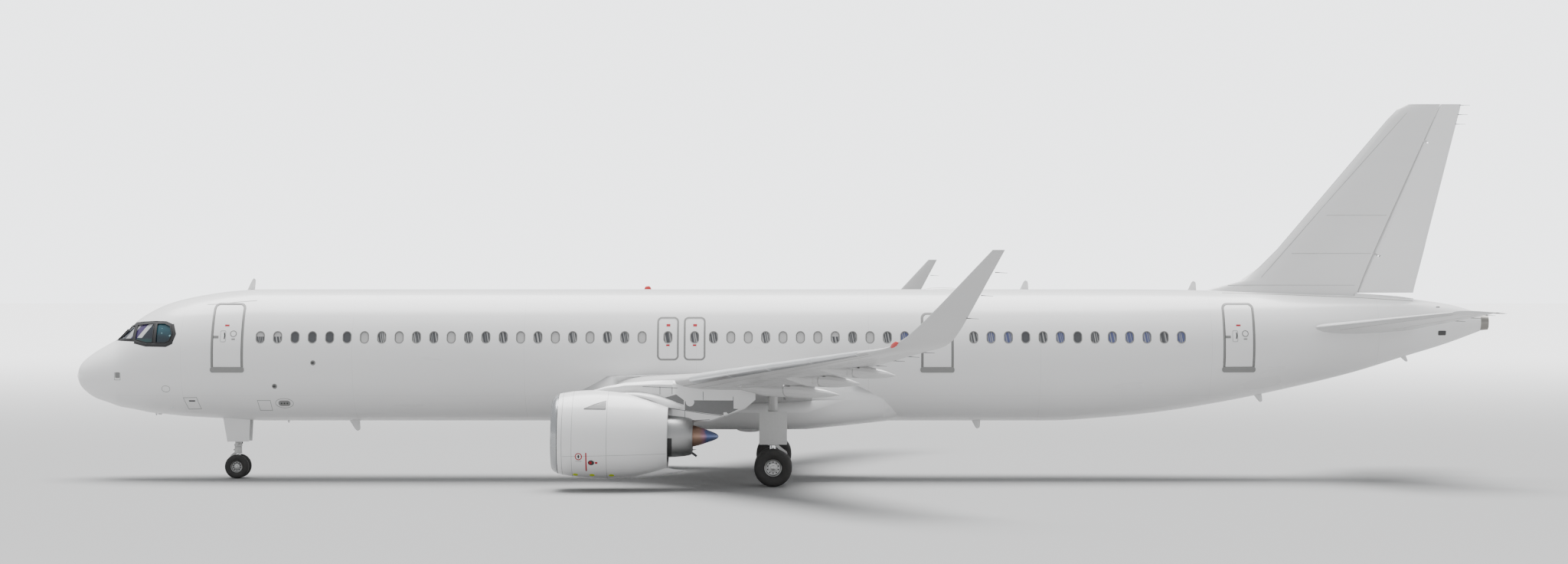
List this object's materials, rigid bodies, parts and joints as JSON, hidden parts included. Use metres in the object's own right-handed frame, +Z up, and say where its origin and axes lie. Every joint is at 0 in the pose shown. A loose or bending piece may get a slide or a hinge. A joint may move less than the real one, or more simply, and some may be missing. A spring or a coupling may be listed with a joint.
{
  "type": "scale model of a twin-engine airliner, 1:2",
  "caption": "Half-size model of a narrow-body airliner with wing-mounted turbofans, blended winglets and moving control surfaces, parked on its wheels.",
  "frame": {"origin": "on the ground under the middle of the model's length, on its plane of symmetry", "axes": "+X aft along the fuselage, +Y to the aircraft's right, +Z up"},
  "size_m": [22.2544, 17.9144, 5.895],
  "materials": {
    "white_paint": "gloss",
    "white_composite": "gloss",
    "grey_paint": "satin",
    "grey_composite": "satin",
    "bare_metal": "gloss",
    "hot_metal": "satin",
    "dark_metal": "satin",
    "black_glass": "gloss",
    "black_frame": "satin",
    "gear_paint": "satin",
    "tyre_rubber": "matte"
  },
  "bodies": {
    "airframe": {"apu_exhaust": "dark_metal", "belly_fairing": "white_composite", "cowl_left": "white_composite", "cowl_right": "white_composite", "door_front_left": "white_paint", "door_front_right": "white_paint", "door_mid_left": "white_paint", "door_mid_right": "white_paint", "door_rear_left": "white_paint", "door_rear_right": "white_paint", "engine_core_left": "dark_metal", "engine_core_right": "dark_metal", "exhaust_plug_left": "hot_metal", "exhaust_plug_right": "hot_metal", "fin": "white_composite", "fuselage": "white_paint", "inlet_lip_left": "bare_metal", "inlet_lip_right": "bare_metal", "main_leg_left": "gear_paint", "main_leg_right": "gear_paint", "nose_gear_door_left": "white_composite", "nose_gear_door_right": "white_composite", "nose_leg": "gear_paint", "pylon_left": "white_composite", "pylon_right": "white_composite", "winglet_left": "grey_composite", "winglet_right": "grey_composite", "windscreen_frame": "black_frame", "windscreen_glass": "black_glass", "wing_left": "grey_paint", "wing_right": "grey_paint"},
    "nose_steering": {"nose_fork": "gear_paint"},
    "nose_wheels": {"nose_wheel_hubs": "bare_metal", "nose_wheel_tyre_left": "tyre_rubber", "nose_wheel_tyre_right": "tyre_rubber"},
    "main_wheels_left": {"main_wheel_left_hubs": "bare_metal", "main_wheel_left_tyre_left": "tyre_rubber", "main_wheel_left_tyre_right": "tyre_rubber"},
    "main_wheels_right": {"main_wheel_right_hubs": "bare_metal", "main_wheel_right_tyre_left": "tyre_rubber", "main_wheel_right_tyre_right": "tyre_rubber"},
    "fan_left": {"fan_left": "dark_metal"},
    "fan_right": {"fan_right": "dark_metal"},
    "tailplane": {"tailplane": "grey_composite"},
    "elevator_left": {"elevator_left": "grey_composite"},
    "elevator_right": {"elevator_right": "grey_composite"},
    "rudder": {"rudder": "white_composite"},
    "aileron_left": {"aileron_left": "grey_composite"},
    "flap_inner_left": {"flap_inner_left": "grey_composite"},
    "flap_outer_left": {"flap_outer_left": "grey_composite"},
    "spoiler_left": {"spoiler_left": "grey_composite"},
    "aileron_right": {"aileron_right": "grey_composite"},
    "flap_inner_right": {"flap_inner_right": "grey_composite"},
    "flap_outer_right": {"flap_outer_right": "grey_composite"},
    "spoiler_right": {"spoiler_right": "grey_composite"},
    "cargo_door_front": {"cargo_door_front": "white_paint"},
    "cargo_door_rear": {"cargo_door_rear": "white_paint"}
  },
  "joints": [
    {"name": "nose_steering", "type": "hinge", "parent": "airframe", "child": "nose_steering", "pos_m": [-8.5925, 0, 0.49], "axis": [0, 0, 1], "range_deg": [-75, 75]},
    {"name": "nose_wheels_spin", "type": "hinge", "parent": "nose_steering", "child": "nose_wheels", "pos_m": [-8.5925, 0, 0.1875], "axis": [0, 1, 0], "continuous": true},
    {"name": "main_wheels_left_spin", "type": "hinge", "parent": "airframe", "child": "main_wheels_left", "pos_m": [-0.1425, -1.8975, 0.2875], "axis": [0, 1, 0], "continuous": true},
    {"name": "main_wheels_right_spin", "type": "hinge", "parent": "airframe", "child": "main_wheels_right", "pos_m": [-0.1425, 1.8975, 0.2875], "axis": [0, 1, 0], "continuous": true},
    {"name": "fan_left_spin", "type": "hinge", "parent": "airframe", "child": "fan_left", "pos_m": [-3.02256, -2.875, 0.83311], "axis": [0.9998, 0, -0.0175], "continuous": true},
    {"name": "fan_right_spin", "type": "hinge", "parent": "airframe", "child": "fan_right", "pos_m": [-3.02256, 2.875, 0.83311], "axis": [0.9998, 0, -0.0175], "continuous": true},
    {"name": "tailplane_trim", "type": "hinge", "parent": "airframe", "child": "tailplane", "pos_m": [9.1475, 0, 2.36], "axis": [0, 1, 0], "range_deg": [-13.5, 4]},
    {"name": "elevator_left_hinge", "type": "hinge", "parent": "tailplane", "child": "elevator_left", "pos_m": [9.41174, -0.56, 2.36749], "axis": [-0.3507, 0.9314, -0.0976], "range_deg": [-30, 17]},
    {"name": "elevator_right_hinge", "type": "hinge", "parent": "tailplane", "child": "elevator_right", "pos_m": [9.41174, 0.56, 2.36749], "axis": [0.3507, 0.9314, 0.0976], "range_deg": [-30, 17]},
    {"name": "rudder_hinge", "type": "hinge", "parent": "airframe", "child": "rudder", "pos_m": [9.1175, 0, 2.92], "axis": [0.3994, 0, 0.9168], "range_deg": [-25, 25]},
    {"name": "aileron_left_hinge", "type": "hinge", "parent": "airframe", "child": "aileron_left", "pos_m": [1.0836, -6.19, 1.9674], "axis": [-0.323, 0.9404, -0.1062], "range_deg": [-25, 25]},
    {"name": "flap_inner_left_hinge", "type": "hinge", "parent": "airframe", "child": "flap_inner_left", "pos_m": [0.10777, -3.075, 1.4797], "axis": [-0.0048, 0.9877, -0.1564], "range_deg": [0, 35]},
    {"name": "flap_outer_left_hinge", "type": "hinge", "parent": "airframe", "child": "flap_outer_left", "pos_m": [0.58887, -4.65, 1.67272], "axis": [-0.329, 0.9375, -0.1134], "range_deg": [0, 35]},
    {"name": "spoiler_left_hinge", "type": "hinge", "parent": "airframe", "child": "spoiler_left", "pos_m": [-0.19063, -3.4, 1.75119], "axis": [0.3548, -0.9304, 0.0922], "range_deg": [0, 50]},
    {"name": "aileron_right_hinge", "type": "hinge", "parent": "airframe", "child": "aileron_right", "pos_m": [1.0836, 6.19, 1.9674], "axis": [0.323, 0.9404, 0.1062], "range_deg": [-25, 25]},
    {"name": "flap_inner_right_hinge", "type": "hinge", "parent": "airframe", "child": "flap_inner_right", "pos_m": [0.10777, 3.075, 1.4797], "axis": [0.0048, 0.9877, 0.1564], "range_deg": [0, 35]},
    {"name": "flap_outer_right_hinge", "type": "hinge", "parent": "airframe", "child": "flap_outer_right", "pos_m": [0.58887, 4.65, 1.67272], "axis": [0.329, 0.9375, 0.1134], "range_deg": [0, 35]},
    {"name": "spoiler_right_hinge", "type": "hinge", "parent": "airframe", "child": "spoiler_right", "pos_m": [-0.19063, 3.4, 1.75119], "axis": [-0.3548, -0.9304, -0.0922], "range_deg": [0, 50]},
    {"name": "cargo_door_front_hinge", "type": "hinge", "parent": "airframe", "child": "cargo_door_front", "pos_m": [-6.5775, 0.97328, 1.765], "axis": [1, 0, 0], "range_deg": [0, 110]},
    {"name": "cargo_door_rear_hinge", "type": "hinge", "parent": "airframe", "child": "cargo_door_rear", "pos_m": [3.9225, 0.97328, 1.765], "axis": [1, 0, 0], "range_deg": [0, 110]}
  ]
}
